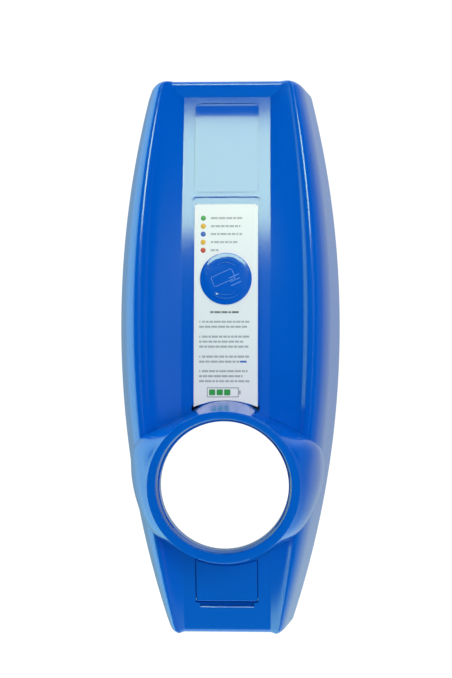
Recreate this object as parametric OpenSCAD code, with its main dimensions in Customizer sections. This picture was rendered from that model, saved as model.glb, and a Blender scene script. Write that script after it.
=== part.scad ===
// EV charging head: a bowed front cover with an open round socket bay, hung on a
// wall or post mounted housing. Origin: centre of the wall fixings, on the wall face.
// Front is -Y, right is +X, up is +Z. "Depth" is the distance in front of the wall.

/* [Cover] */
// Overall height of the cover
cover_h = 600; // [590:1:620]
// Overall width at the widest point
cover_w = 248; // [240:1:270]
// Radius of the bowed sides
side_radius = 1060; // [1000:10:1400]
// Height of the widest point above the middle
wide_z = 35; // [20:1:50]
// Wall thickness of the moulding
wall = 3; // [2.5:0.1:3.5]
// How far the side walls lean in from back to front
lean = 9; // [6:0.5:11]
// Gap between the wall and the back edge of the cover
back_gap = 14; // [12:0.5:16]

/* [Centre strip] */
// Width of the sunk centre strip
strip_w = 94; // [88:1:98]
// Depth of the strip at its fullest point
strip_d = 138; // [132:1:146]
// Height of that fullest point
belly_z = -60; // [-65:1:-55]
// Bow radius of the strip above the fullest point
bow_up = 1312; // [1250:10:1600]
// Bow radius of the strip below the fullest point
bow_low = 552; // [530:2:650]
// Height of the side ridges over the strip at the middle
ridge_h = 32; // [26:1:36]
// Rounding of the ridge crests
crest_r = 15; // [10:1:18]
// Height of the sloped head panel
head_h = 15; // [12:1:18]

/* [Window and label] */
// Width of the window panel
window_w = 69; // [60:1:76]
// Height of the window panel
window_h = 98; // [80:1:100]
// Height of the window's middle
window_z = 227; // [226:0.5:228]
// Depth of the pockets that take the window and the label
pocket_d = 2.2; // [1.8:0.1:2.4]
// Thickness of the window panel
window_t = 2; // [1.4:0.1:2.2]
// Width of the label
label_w = 68; // [60:1:72]
// Top edge of the label
label_top = 165; // [162:0.5:167]
// Thickness of the label
label_t = 0.8; // [0.5:0.1:1.2]
// Radius of the card reader disc
disc_r = 27.6; // [24:0.2:30]
// Height of the disc's middle
disc_z = 84.7; // [78:0.1:92]

/* [Socket bay] */
// Height of the bay's middle
bay_z = -131; // [-132:0.5:-129]
// Depth of the ring face at the bay's middle
bay_d = 194; // [188:1:200]
// Downward tilt of the ring face
bay_tilt = 8; // [6:0.5:10]
// Radius of the socket bore
bore_r = 67; // [62:0.5:67.5]
// Length of the socket bore
bore_len = 20; // [14:0.5:22]
// Outside radius of the ring face at the bay's middle
ring_r = 79; // [77:0.5:80]
// How much the collar's radius grows for each millimetre back
flare = 0.117; // [0.09:0.001:0.12]
// Inside radius of the tunnel through the housing
tunnel_r = 88; // [86:0.5:89]

/* [Hatch] */
// Width of the service hatch
hatch_w = 66; // [58:1:70]
// Bottom edge of the hatch
hatch_z = -264; // [-266:0.5:-262]
// Height of the hatch at its sides, before the arc is taken out
hatch_h = 56; // [50:1:58]
// Thickness of the hatch
hatch_t = 3; // [2.5:0.1:3.5]
// Gap around the hatch
hatch_gap = 0.8; // [0.5:0.1:1]

/* [Housing] */
// Gap between cover and housing walls
house_gap = 7; // [6.5:0.5:8]
// Depth of the housing's front rim
rim_d = 60; // [54:1:64]
// Thickness of the wall bracket
plate_t = 3; // [2:0.5:4]
// Side-to-side distance of the wall fixings
fix_x = 100; // [90:1:104]
// Up-and-down distance of the wall fixings
fix_z = 510; // [500:1:514]
// Radius of the wall fixing holes
fix_r = 3.25; // [2.7:0.05:4.2]
// Radius of the cable entry bore
cable_r = 9; // [6:0.5:10]
// Radius of the hinge rod
rod_r = 3; // [2.5:0.1:3.5]
// Running clearance of pins in their bores
run = 0.06; // [0.03:0.01:0.09]

/* [Hidden] */
$fn = 96;

blue = [0.0, 0.36, 0.75];
grey = [0.62, 0.64, 0.66];
dark = [0.12, 0.12, 0.13];
steel = [0.72, 0.73, 0.75];
green = [0.05, 0.38, 0.18];

top_z = cover_h / 2;
low_z = -cover_h / 2;
head_z = top_z - 2 - head_h;          // where the strip ends and the head panel starts
slope_steps = 5;
crest_steps = 4;
top_round = 8;                        // rounding of the outline at the top, seen from the front
top_round_d = 4;                      // and seen from the side
low_round = 5;
knee_at = 0.55;                       // where the inner slope turns up, as a share of its width

// ---- outline and surface of the cover, as functions of height ----

// How much an edge is rounded off at distance q from it
function edge_in(q, r) = q >= r ? 0 : r - sqrt(r * r - (r - q) * (r - q));
// Half width of the bowed outline
function bow_w(z) =
    cover_w / 2 - side_radius + sqrt(side_radius * side_radius - (z - wide_z) * (z - wide_z));
// Depth of the centre strip
function strip(z) = let (r = z > belly_z ? bow_up : bow_low)
    strip_d - r + sqrt(r * r - (z - belly_z) * (z - belly_z));
// Share of the way from the widest height to the top or bottom end
function to_end(z) = z > wide_z ? (z - wide_z) / (top_z - wide_z) : (wide_z - z) / (wide_z - low_z);
// Height of the ridges over the strip
function ridge(z) = ridge_h * (1 - (z > wide_z ? 0.32 : 0.53) * to_end(z) * to_end(z));
// How straight the inner slope is: hollow in the middle, nearly flat at the ends
function fullness(z) = 0.12 + (z > wide_z ? 0.38 : 0.28) * to_end(z) * to_end(z);

function mix(a, b, t) = a + (b - a) * t;
function curve(a, k, b, t) = mix(mix(a, k, t), mix(k, b, t), t);
// Where a curve's second coordinate reaches v
function reach(a, k, b, v) = let (p = a - 2 * k + b, q = 2 * (k - a), c = a - v)
    v <= a ? 0 : v >= b ? 1 :
    abs(p) < 1e-6 ? -c / q : (-q + sqrt(max(0, q * q - 4 * p * c))) / (2 * p);

// Right half of a section at height z, from the strip to the back edge, as [x, depth]
function half_section(z, t) = let (
    zz = max(low_z + t, min(top_z - t, z)),
    low_in = edge_in(zz - low_z - t, low_round - t),
    round_x = max(edge_in(top_z - t - zz, top_round - t), low_in),
    round_d = max(edge_in(top_z - t - zz, top_round_d - t), low_in),
    w = bow_w(zz) - t - round_x,
    s = strip(zz) - t - round_d,
    h = ridge(zz),
    back = [w, back_gap],
    corner = [w - lean, s + h],
    inner = [strip_w / 2, s],
    knee = [mix(inner.x, corner.x, knee_at), s + fullness(zz) * h],
    a = corner + (knee - corner) * (crest_r - t) / norm(knee - corner),
    b = corner + (back - corner) * (crest_r - t) / norm(back - corner),
    rise = min(0.94, max(0, (zz - head_z + t * 0.3) / head_h)),
    floor_d = mix(s, a.y, rise),
    u0 = reach(inner.y, knee.y, a.y, floor_d))
    [for (i = [0:slope_steps]) curve(inner, knee, a, mix(u0, 1, i / slope_steps)),
     for (i = [1:crest_steps]) curve(a, corner, b, i / crest_steps),
     mix(b, back, 0.5), back];

function section(z, t) = let (h = half_section(z, t), n = len(h))
    [for (i = [n - 1:-1:0]) [-h[i].x, -h[i].y, z], for (i = [0:n - 1]) [h[i].x, -h[i].y, z]];

// Heights at which sections are taken, denser at the ends and at the head panel
levels = [low_z, low_z + 1.2, low_z + 5,
          for (i = [1:12]) mix(low_z + 5, wide_z, i / 12),
          for (i = [1:9]) mix(wide_z, head_z, i / 9),
          head_z + head_h * 0.45, top_z - 5, top_z - 1.5, top_z];

// Closed shell: outer skin, inner skin, fanned end caps and the flat back rim
module cover_skin() {
    rows = len(levels);
    cols = len(section(0, 0));
    inner_levels = levels * (1 - wall / top_z);
    half = rows * cols;
    last = half - cols;
    hub = 2 * half;                   // middles of the two ends on the back plane, outer then inner
    skin = [for (r = [0:rows - 2], c = [0:cols - 2])
            let (p = r * cols + c) each [[p, p + 1, p + cols + 1], [p, p + cols + 1, p + cols]]];
    caps = [for (c = [0:cols - 2]) each [[c + 1, c, hub], [last + c, last + c + 1, hub + 1]]];
    lining = [for (f = concat(skin, caps)) [for (i = [2:-1:0]) f[i] >= hub ? f[i] + 2 : f[i] + half]];
    sides = [for (r = [0:rows - 2], c = [0, cols - 1])
             let (p = r * cols + c, q = p + cols, a = c == 0 ? p : q, b = c == 0 ? q : p)
             each [[a, b, b + half], [a, b + half, a + half]]];
    ends = [for (e = [[cols - 1, hub, 0], [last, hub + 1, last + cols - 1]], i = [0, 1])
            let (a = e[i], b = e[i + 1], d = a >= hub ? a + 2 : a + half, g = b >= hub ? b + 2 : b + half)
            each [[a, b, g], [a, g, d]]];
    polyhedron(
        points = [for (z = levels) each section(z, 0), for (z = inner_levels) each section(z, wall),
                  for (z = [low_z, top_z, low_z + wall, top_z - wall]) [0, -back_gap, z]],
        faces = [for (f = concat(skin, caps, lining, sides, ends)) [f[2], f[1], f[0]]]);
}

// ---- shared placing helpers ----

// Extrudes an outline drawn as [x, z] between two depths
module front(d0, d1) translate([0, -d0, 0]) rotate([90, 0, 0]) linear_extrude(d1 - d0) children();
module slab(x, z, d) translate([x[0], -d[1], z[0]]) cube([x[1] - x[0], d[1] - d[0], z[1] - z[0]]);
module peg(x, z, d0, d1, r) translate([x, -d0, z]) rotate([90, 0, 0]) cylinder(r = r, h = d1 - d0);
module round_rect(w, h, r) {
    square([w - 2 * r, h], center = true);
    square([w, h - 2 * r], center = true);
    for (x = [-1, 1], y = [-1, 1]) translate([x * (w / 2 - r), y * (h / 2 - r)]) circle(r);
}
// Everything behind the strip's surface by at least d
module behind_strip(d, r = bow_up) {
    translate([0, r - strip_d, belly_z]) rotate([0, 90, 0])
        cylinder(r = r - d, h = 160, center = true, $fn = 1200);
}
// Bay axis: +Z out of the ring face, which is at zero
module at_bay() translate([0, -bay_d, bay_z]) rotate([90 + bay_tilt, 0, 0]) children();
// Collar's outer cone between two depths, taken in by t
module collar_cone(d0, d1, t = 0) translate([0, -d0, bay_z]) rotate([90, 0, 0])
    cylinder(r1 = ring_r + (bay_d - d0) * flare - t, r2 = ring_r + (bay_d - d1) * flare - t,
             h = d1 - d0, $fn = 180);
// Everything in front of the ring face, moved back by t
module before_face(t = 0) at_bay() translate([-120, -120, -t]) cube([240, 240, 60]);
module band(z, r0, r1, d0, d1) difference() {
    peg(0, z, d0, d1, r1);
    peg(0, z, d0 - 1, d1 + 1, r0);
}
// Pan head screw along -Y: head seated at depth d, shank going back to d - len
module pan_screw(x, z, d, r, len) {
    peg(x, z, d - len, d, r);
    difference() {
        peg(x, z, d, d + r * 1.2, r * 1.9);
        slab([x - r * 1.4, x + r * 1.4], [z - r * 0.25, z + r * 0.25], [d + r * 0.7, d + r * 1.3]);
        slab([x - r * 0.25, x + r * 0.25], [z - r * 1.4, z + r * 1.4], [d + r * 0.7, d + r * 1.3]);
    }
}

// ---- derived places ----

house_in = wall + house_gap;
house_top = top_z - 28;
house_low = low_z + house_in + 4;
floor_t = 3;
floor_d = plate_t + floor_t;
hinge_z = top_z - 14;
hinge_d = 30;
ear_x = 54;
ear_t = 4;
knuckle_len = 20;
knuckle_r = rod_r + 3.2;
seal_t = 3;
tunnel_t = 3;
tunnel_z = bay_z - 9;
tunnel_d = 90;                        // depth of the tunnel's front rim at its middle
collar_back = 104;                    // depth of the collar's back rim
bore_back = 156;                      // depth of the bore's back end
bore_z = bay_z - 0.8;
bore_tube = bore_r + 3;
lip = 1.1;                            // step at the bore's front, where the mouth opens out
hatch_arc = 91.5;                     // radius of the arc taken out of the hatch's top
rail_z = 113;
rail_d = 12;
rail_w = 184;
rail_front = rail_d + 7.5;
board_z = 200;
board_w = 120;
board_h = 84;
board_d = 24;
supply_z = 0;
duct_z = 52;
lock_x = 0;
lock_z = hatch_z + 18;
lock_r = 8;
tray_d = strip(hatch_z) - hatch_t - 9;      // front of the hatch pocket's floor
lock_tail = 53;
grommet_z = -264;
pin_r = 1.5;
pin_d = strip(hatch_z + 4) - 3.4;
pin_z = hatch_z + 3.2;
label_low = bay_z + ring_r;

house_steps = 24;
function house_side(inset) = [for (i = [0:house_steps])
    let (z = mix(house_low + inset, house_top - inset, i / house_steps))
    [bow_w(z) - house_in - inset, z]];
module house_outline(inset) {
    side = house_side(inset);
    polygon([each side, for (i = [house_steps:-1:0]) [-side[i].x, side[i].y]]);
}
module at_fixings() for (x = [-1, 1], z = [-1, 1]) translate([x * fix_x / 2, 0, z * fix_z / 2]) children();
bracket_spots = [[-80, 170], [80, 170], [-86, -30], [86, -30]];
rail_spots = [-78, 78];
board_spots = [for (x = [-1, 1], z = [-1, 1])
    [x * (board_w / 2 - 6), board_z + z * (board_h / 2 - 6)]];
reader_spots = [[-24, disc_z - 26], [24, disc_z - 26], [-24, disc_z + 26], [24, disc_z + 26]];
reader_d = strip(disc_z) - 16;
clamp_spots = [-20, 20];

// ---- wall side ----

module wall_bracket() color(steel) difference() {
    front(0, plate_t) difference() {
        house_outline(4);
        translate([0, tunnel_z]) circle(tunnel_r + tunnel_t);
        translate([0, grommet_z]) circle(cable_r + 6);
    }
    at_fixings() rotate([90, 0, 0]) translate([0, 0, -1]) cylinder(r = fix_r, h = plate_t + 2);
    for (s = bracket_spots) peg(s[0], s[1], -1, plate_t + 1, 2);
}

// Floor plate with the bosses that carry the rail, the board and the cord clamp
module back_housing() color(grey) difference() {
    union() {
        front(plate_t, floor_d) house_outline(0);
        for (x = rail_spots) peg(x, rail_z, floor_d, rail_d, 6);
        for (s = board_spots) peg(s[0], s[1], floor_d, floor_d + 4, 5);
        for (x = clamp_spots) peg(x, grommet_z, floor_d, floor_d + 9, 5);
    }
    peg(0, tunnel_z, -1, floor_d + 1, tunnel_r);
    at_fixings() peg(0, 0, plate_t - 1, floor_d + 1, 8);
    peg(0, grommet_z, plate_t - 1, floor_d + 1, cable_r + 3);
    for (s = bracket_spots) peg(s[0], s[1], plate_t - 1, floor_d + 1, 2.5);
    for (x = rail_spots) peg(x, rail_z, rail_d - 6, rail_d + 1, 2);
    for (s = board_spots) peg(s[0], s[1], floor_d, floor_d + 5, 1.5);
    for (x = clamp_spots) peg(x, grommet_z, floor_d + 2, floor_d + 10, 1.7);
    peg(-60, 20, plate_t - 1, floor_d + 1, 3);
}

// Side walls with the ears for the hinge rod
module housing_surround() color(grey) {
    front(floor_d, rim_d) difference() {
        house_outline(0);
        house_outline(wall);
    }
    for (x = [-1, 1]) difference() {
        slab([x * ear_x - ear_t / 2, x * ear_x + ear_t / 2], [house_top - 1, hinge_z + 6],
             [hinge_d - 7, hinge_d + 7]);
        translate([0, -hinge_d, hinge_z]) rotate([0, 90, 0])
            cylinder(r = rod_r, h = 200, center = true);
    }
}

// Tube that carries the socket bay through the housing, cut level with the collar
module bay_tunnel() color(grey) difference() {
    band(tunnel_z, tunnel_r, tunnel_r + tunnel_t, floor_d, tunnel_d + 30);
    translate([0, bay_d - tunnel_d, tunnel_z - bay_z]) before_face();
}

module housing_seal() color(dark) front(rim_d, rim_d + seal_t) difference() {
    house_outline(0);
    house_outline(wall);
}

module bracket_screws() color(steel)
    for (s = bracket_spots) pan_screw(s[0], s[1], floor_d, 2, floor_d - 0.5);

module hinge_rod() color(steel) translate([0, -hinge_d, hinge_z]) rotate([0, 90, 0])
    cylinder(r = rod_r, h = 2 * ear_x + ear_t + 6, center = true);

module din_rail() color(steel) difference() {
    translate([-rail_w / 2, -rail_d, rail_z]) rotate([90, 0, 90]) linear_extrude(rail_w)
        polygon([[0, -13.5], [0, 13.5], [-6.5, 13.5], [-6.5, 17.5], [-7.5, 17.5], [-7.5, 12.5],
                 [-1, 12.5], [-1, -12.5], [-7.5, -12.5], [-7.5, -17.5], [-6.5, -17.5], [-6.5, -13.5]]);
    for (x = rail_spots) peg(x, rail_z, rail_d - 1, rail_d + 2, 2);
}

module rail_screws() color(steel) for (x = rail_spots) pan_screw(x, rail_z, rail_d + 1, 2, 6.5);

// Body of a rail-mounted device: a wide back part, a narrower nose and a foot over the rail
module rail_device(x0, w, nose_d) {
    difference() {
        union() {
            slab([x0, x0 + w], [rail_z - 43, rail_z + 43], [rail_front, rail_front + 38]);
            slab([x0, x0 + w], [rail_z - 22.5, rail_z + 22.5], [rail_front + 38, rail_front + nose_d]);
        }
        for (z = [-1, 1], i = [0:floor(w / 18) - 1])
            peg(x0 + 9 + i * 18, rail_z + z * 33, rail_front + 30, rail_front + 39, 3);
    }
}

module contactor() color([0.82, 0.82, 0.8]) difference() {
    rail_device(-88, 54, 44);
    slab([-80, -42], [rail_z - 12, rail_z + 12], [rail_front + 43, rail_front + 45]);
}

breaker_x = -30;
lever_z = rail_z + 2;
lever_d = rail_front + 42;
lever_on = 35;                        // how far the handle points up when switched on
module breaker_body() color([0.86, 0.86, 0.84]) difference() {
    rail_device(breaker_x, 36, 46);
    translate([breaker_x + 11, -lever_d, lever_z]) rotate([0, 90, 0]) cylinder(r = 8, h = 16);
    translate([breaker_x + 6, -lever_d, lever_z]) rotate([0, 90, 0]) cylinder(r = 1.5, h = 26);
    peg(breaker_x + 26, rail_z - 15, rail_front + 36, rail_front + 47, 3.2);
}

module breaker_lever() color([0.1, 0.14, 0.35]) translate([breaker_x + 11.5, -lever_d, lever_z])
    rotate([0, 90, 0]) {
        cylinder(r = 7.4, h = 15);
        translate([0, 0, -5]) cylinder(r = 1.5 - run, h = 25);
        // handle, up for on
        rotate([0, 0, -lever_on]) intersection() {
            translate([-2.2, -16, 0]) cube([4.4, 16, 15]);
            cylinder(r = 15.5, h = 15);
        }
    }

button_d = rail_front + 38;
module breaker_test_button() color([0.85, 0.62, 0.1]) {
    peg(breaker_x + 26, rail_z - 15, button_d, rail_front + 48, 3.2 - run);
    peg(breaker_x + 26, rail_z - 15, rail_front + 48, rail_front + 48.6, 2.2);
}

module energy_meter() color([0.8, 0.81, 0.8]) difference() {
    rail_device(10, 36, 46);
    slab([15, 41], [rail_z + 2, rail_z + 16], [rail_front + 45, rail_front + 47]);
    slab([15, 31], [rail_z - 16, rail_z - 6], [rail_front + 45.4, rail_front + 47]);
}

module terminal_block() color([0.5, 0.52, 0.5]) for (i = [0:4]) difference() {
    slab([50 + i * 8.2, 58 + i * 8.2], [rail_z - 26, rail_z + 26], [rail_front, rail_front + 40]);
    for (z = [-1, 1]) {
        peg(54 + i * 8.2, rail_z + z * 10, rail_front + 30, rail_front + 41, 2.4);
        slab([52 + i * 8.2, 56 + i * 8.2], [rail_z + z * 24 - 3, rail_z + z * 24 + 3],
             [rail_front + 10, rail_front + 16]);
    }
}

module power_supply() color([0.55, 0.57, 0.6]) difference() {
    slab([-10, 78], [supply_z - 30, supply_z + 36], [floor_d, floor_d + 38]);
    for (i = [0:8]) slab([i * 7 - 2, i * 7 + 2], [supply_z - 20, supply_z + 26],
                         [floor_d + 35, floor_d + 39]);
}

module controller_board() color(green) {
    difference() {
        front(board_d, board_d + 1.6) translate([0, board_z]) round_rect(board_w, board_h, 3);
        for (s = board_spots) peg(s[0], s[1], board_d - 1, board_d + 3, 1.6);
    }
    slab([-22, 10], [board_z - 14, board_z + 18], [board_d + 1.6, board_d + 4]);
    slab([20, 46], [board_z + 8, board_z + 30], [board_d + 1.6, board_d + 8]);
    slab([-48, -30], [board_z - 30, board_z + 6], [board_d + 1.6, board_d + 12]);
    for (i = [0:2]) peg(-8 + i * 14, board_z - 29, board_d + 1.6, board_d + 15, 5);
    slab([28, 48], [board_z - 30, board_z - 14], [board_d + 1.6, board_d + 11]);
}

module board_standoffs() color([0.8, 0.68, 0.35]) for (s = board_spots) {
    difference() {
        peg(s[0], s[1], floor_d + 4, board_d, 3.4);
        peg(s[0], s[1], board_d - 6, board_d + 1, 1.5);
    }
}

module board_screws() color(steel)
    for (s = board_spots) pan_screw(s[0], s[1], board_d + 1.6, 1.5, 7);

module modem_antenna() color(dark) {
    slab([62, 84], [198, 236], [floor_d, floor_d + 7]);
    peg(73, 224, floor_d + 7, floor_d + 12, 4);
    translate([73, -floor_d - 14, 219]) cylinder(r = 3, h = 30);
    peg(73, 224, floor_d + 11, floor_d + 14, 2.5);
}

module earth_stud() color([0.8, 0.66, 0.3]) {
    peg(-60, 20, plate_t + 0.3, floor_d + 18, 3);
    translate([-60, -floor_d, 20]) rotate([90, 0, 0]) cylinder(r = 5.8, h = 4, $fn = 6);
    peg(-60, 20, floor_d + 4, floor_d + 5, 7);
    translate([-60, -floor_d - 8, 20]) rotate([90, 0, 0]) cylinder(r = 5.8, h = 5, $fn = 6);
    peg(-60, 20, floor_d + 5, floor_d + 8, 5);
}

module cable_grommet() color(dark) translate([0, 0, grommet_z]) rotate([90, 0, 0]) difference() {
    union() {
        cylinder(r = cable_r + 3, h = floor_d + 3);
        cylinder(r = cable_r + 5, h = plate_t);
        translate([0, 0, floor_d]) cylinder(r1 = cable_r + 5, r2 = cable_r + 3.4, h = 3);
    }
    translate([0, 0, -1]) cylinder(r = cable_r, h = floor_d + 5);
}

module cord_clamp() color([0.3, 0.31, 0.33]) front(floor_d + 9, floor_d + 15)
    translate([0, grommet_z]) difference() {
        round_rect(52, 11, 4);
        for (x = clamp_spots) translate([x, 0]) circle(1.8);
    }

module clamp_screws() color(steel)
    for (x = clamp_spots) pan_screw(x, grommet_z, floor_d + 15, 1.7, 12);

module wiring_duct() color([0.7, 0.71, 0.72]) difference() {
    slab([-92, 96], [duct_z - 12, duct_z + 12], [floor_d, floor_d + 30]);
    slab([-93, 97], [duct_z - 10.5, duct_z + 10.5], [floor_d + 1.5, floor_d + 31]);
    for (i = [0:17], z = [-1, 1])
        slab([-87 + i * 10, -83 + i * 10], [duct_z + z * 11.5 - 1, duct_z + z * 11.5 + 1],
             [floor_d + 12, floor_d + 31]);
}

module duct_lid() color([0.76, 0.77, 0.78])
    slab([-92, 96], [duct_z - 12, duct_z + 12], [floor_d + 30, floor_d + 31.6]);

keeper_d = 56;
keeper_z = house_low + wall;
module lock_keeper() color(steel) {
    slab([-12, 12], [keeper_z, keeper_z + 2], [floor_d, keeper_d]);
    slab([-12, 12], [keeper_z, keeper_z + 14], [keeper_d, keeper_d + 2]);
}

// ---- cover side ----

hatch_pocket_w = hatch_w + 2 * hatch_gap;
module front_cover() color(blue) {
    difference() {
        union() {
            cover_skin();
            // doubler behind the window and label pockets
            intersection() {
                slab([-window_w / 2 - 6, window_w / 2 + 6], [label_low - 2, window_z + window_h / 2 + 4],
                     [80, strip_d]);
                difference() {
                    behind_strip(wall - 0.8);
                    behind_strip(wall + 2.2);
                }
            }
            // box behind the hatch, kept clear of the collar
            difference() {
                intersection() {
                    slab([-hatch_w / 2 - 5, hatch_w / 2 + 5], [hatch_z - 5, hatch_z + hatch_h],
                         [tray_d - 2.5, strip_d]);
                    behind_strip(1, bow_low);
                }
                peg(0, bay_z, tray_d - 5, strip_d, hatch_arc - 1.6);
            }
            // posts for the card reader board
            for (s = reader_spots) peg(s[0], s[1], reader_d, strip(disc_z) - wall, 3.5);
            // knuckles on the hinge rod
            for (x = [-1, 1]) translate([x * (ear_x - ear_t / 2 - 1 - knuckle_len / 2), 0, 0]) {
                translate([0, -hinge_d, hinge_z]) rotate([0, 90, 0])
                    cylinder(r = knuckle_r, h = knuckle_len, center = true);
                slab([-knuckle_len / 2, knuckle_len / 2], [hinge_z, top_z - wall / 2],
                     [hinge_d - 4, hinge_d + 4]);
            }
        }
        translate([0, -hinge_d, hinge_z]) rotate([0, 90, 0])
            cylinder(r = rod_r + run, h = 2 * ear_x, center = true);
        // window pocket
        difference() {
            front(60, 160) translate([0, window_z]) round_rect(window_w + 1, window_h + 1, 6);
            behind_strip(pocket_d);
        }
        // label pocket
        difference() {
            slab([-label_w / 2 - 2, label_w / 2 + 2], [label_low - 30, label_top + 8], [60, 160]);
            behind_strip(pocket_d);
        }
        // opening for the collar
        collar_cone(collar_back - 4, bay_d + 30);
        // hatch pocket
        difference() {
            slab([-hatch_pocket_w / 2, hatch_pocket_w / 2], [hatch_z - hatch_gap, hatch_z + hatch_h],
                 [tray_d, 160]);
            peg(0, bay_z, 60, 170, hatch_arc - hatch_gap);
        }
        for (s = reader_spots) peg(s[0], s[1], reader_d - 1, reader_d + 4, 1.3);
        // lock barrel hole, holes for the hatch pin
        peg(lock_x, lock_z, 0, 120, lock_r);
        translate([0, -pin_d, pin_z]) rotate([0, 90, 0])
            cylinder(r = pin_r, h = hatch_pocket_w + 6, center = true);
    }
}

module socket_collar() color(blue) difference() {
    collar_cone(collar_back, bay_d + 24);
    before_face();
    difference() {
        collar_cone(collar_back - 1, bay_d + 24, wall);
        before_face(wall + 0.5);
        peg(0, bore_z, bore_back, bay_d + 24, bore_tube);
    }
    peg(0, bore_z, bore_back - 1, bay_d + 24, bore_r);
    translate([0, -bore_back - bore_len, bay_z]) rotate([90, 0, 0])
        cylinder(r1 = bore_r + lip, r2 = bore_r + 3, h = 33);
}

module window_panel() color([0.35, 0.6, 0.85]) intersection() {
    front(60, 160) translate([0, window_z]) round_rect(window_w, window_h, 5);
    difference() {
        behind_strip(pocket_d - window_t);
        behind_strip(pocket_d);
    }
}

module instruction_label() color("white") difference() {
    intersection() {
        slab([-label_w / 2, label_w / 2], [label_low - 30, label_top], [60, 160]);
        difference() {
            behind_strip(pocket_d - label_t);
            behind_strip(pocket_d);
        }
    }
    collar_cone(collar_back, bay_d, -0.4);
}

module card_reader_disc() color(blue) intersection() {
    peg(0, disc_z, 100, 160, disc_r);
    difference() {
        behind_strip(pocket_d - label_t - 2);
        behind_strip(pocket_d - label_t);
    }
}

module card_reader_board() color(green) difference() {
    front(reader_d - 1.6, reader_d) translate([0, disc_z]) round_rect(58, 62, 3);
    for (s = reader_spots) peg(s[0], s[1], 60, 160, 1.4);
}

module reader_screws() color(steel) for (s = reader_spots) {
    peg(s[0], s[1], reader_d - 3, reader_d - 1.6, 2.6);
    peg(s[0], s[1], reader_d - 1.6, reader_d + 3, 1.3);
}

module light_ring() color([0.9, 0.95, 1, 0.7]) band(bore_z, bore_tube, bore_tube + 3, 167, 171);

module led_board() color(green) band(bore_z, bore_tube, bore_tube + 3, 165.4, 167);

module hatch_pin() color(steel) translate([0, -pin_d, pin_z]) rotate([0, 90, 0])
    cylinder(r = pin_r, h = hatch_pocket_w + 6, center = true);

module service_hatch() color(blue) difference() {
    union() {
        intersection() {
            slab([-hatch_w / 2, hatch_w / 2], [hatch_z + 0.8, hatch_z + hatch_h - 1], [70, 160]);
            difference() {
                behind_strip(0.2, bow_low);
                behind_strip(0.2 + hatch_t, bow_low);
            }
        }
        translate([0, -pin_d, pin_z]) rotate([0, 90, 0])
            cylinder(r = pin_r + 1.3, h = hatch_w, center = true);
    }
    translate([0, -pin_d, pin_z]) rotate([0, 90, 0])
        cylinder(r = pin_r + run, h = hatch_w + 2, center = true);
    peg(0, bay_z, 60, 170, hatch_arc);
}

module lock_barrel() color(steel) difference() {
    union() {
        peg(lock_x, lock_z, lock_tail, tray_d + 1, lock_r);
        peg(lock_x, lock_z, tray_d, tray_d + 1.6, lock_r + 2.5);
        translate([lock_x, 6 - tray_d, lock_z]) rotate([90, 0, 0]) cylinder(r = 11, h = 3.5, $fn = 6);
    }
    peg(lock_x, lock_z, lock_tail - 1, tray_d + 3, 5);
}

module lock_plug() color([0.6, 0.6, 0.62]) difference() {
    union() {
        peg(lock_x, lock_z, lock_tail - 5, tray_d + 1.2, 5 - run);
        slab([lock_x - 30, lock_x + 5], [lock_z - 5, lock_z + 5], [lock_tail - 4, lock_tail - 1]);
    }
    slab([lock_x - 0.8, lock_x + 0.8], [lock_z - 3, lock_z + 3], [tray_d - 6, tray_d + 2]);
}

wall_bracket();
back_housing();
housing_surround();
bay_tunnel();
housing_seal();
bracket_screws();
hinge_rod();
din_rail();
rail_screws();
contactor();
breaker_body();
breaker_lever();
breaker_test_button();
energy_meter();
terminal_block();
power_supply();
controller_board();
board_standoffs();
board_screws();
modem_antenna();
earth_stud();
cable_grommet();
cord_clamp();
clamp_screws();
wiring_duct();
duct_lid();
lock_keeper();
front_cover();
socket_collar();
window_panel();
instruction_label();
card_reader_disc();
card_reader_board();
reader_screws();
light_ring();
led_board();
hatch_pin();
service_hatch();
lock_barrel();
lock_plug();
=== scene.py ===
import bpy
import math
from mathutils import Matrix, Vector


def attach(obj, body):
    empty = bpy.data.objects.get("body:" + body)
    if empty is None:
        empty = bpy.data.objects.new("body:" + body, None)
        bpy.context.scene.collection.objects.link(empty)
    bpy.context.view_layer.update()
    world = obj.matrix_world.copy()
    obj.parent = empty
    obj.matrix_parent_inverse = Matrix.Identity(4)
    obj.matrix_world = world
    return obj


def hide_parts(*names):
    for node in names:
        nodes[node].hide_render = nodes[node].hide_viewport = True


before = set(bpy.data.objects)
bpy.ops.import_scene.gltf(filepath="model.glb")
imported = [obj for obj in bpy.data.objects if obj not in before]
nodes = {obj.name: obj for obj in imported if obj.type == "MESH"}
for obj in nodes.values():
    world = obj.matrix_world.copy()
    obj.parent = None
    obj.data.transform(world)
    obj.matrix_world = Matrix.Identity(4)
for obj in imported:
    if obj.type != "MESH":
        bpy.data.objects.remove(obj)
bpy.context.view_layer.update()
print("frame loaded:", len(nodes), "nodes")

# camera: a little to the right of the head and level with its middle
cameraPlace = {"distance": 1.85, "height": 0.0205, "turn": 2.4, "aimX": -0.0045, "aimY": -0.02,
               "lens": 86.9, "sensor": 36}
turn = math.radians(cameraPlace["turn"])
bpy.ops.object.camera_add(
    location=(cameraPlace["aimX"] + cameraPlace["distance"] * math.sin(turn),
              cameraPlace["aimY"] - cameraPlace["distance"] * math.cos(turn), cameraPlace["height"]),
    rotation=(math.pi / 2, 0, turn))
camera = bpy.context.object
camera.data.lens = cameraPlace["lens"]
camera.data.sensor_width = cameraPlace["sensor"]
bpy.context.scene.camera = camera
bpy.context.scene.view_settings.view_transform = "Standard"

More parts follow.
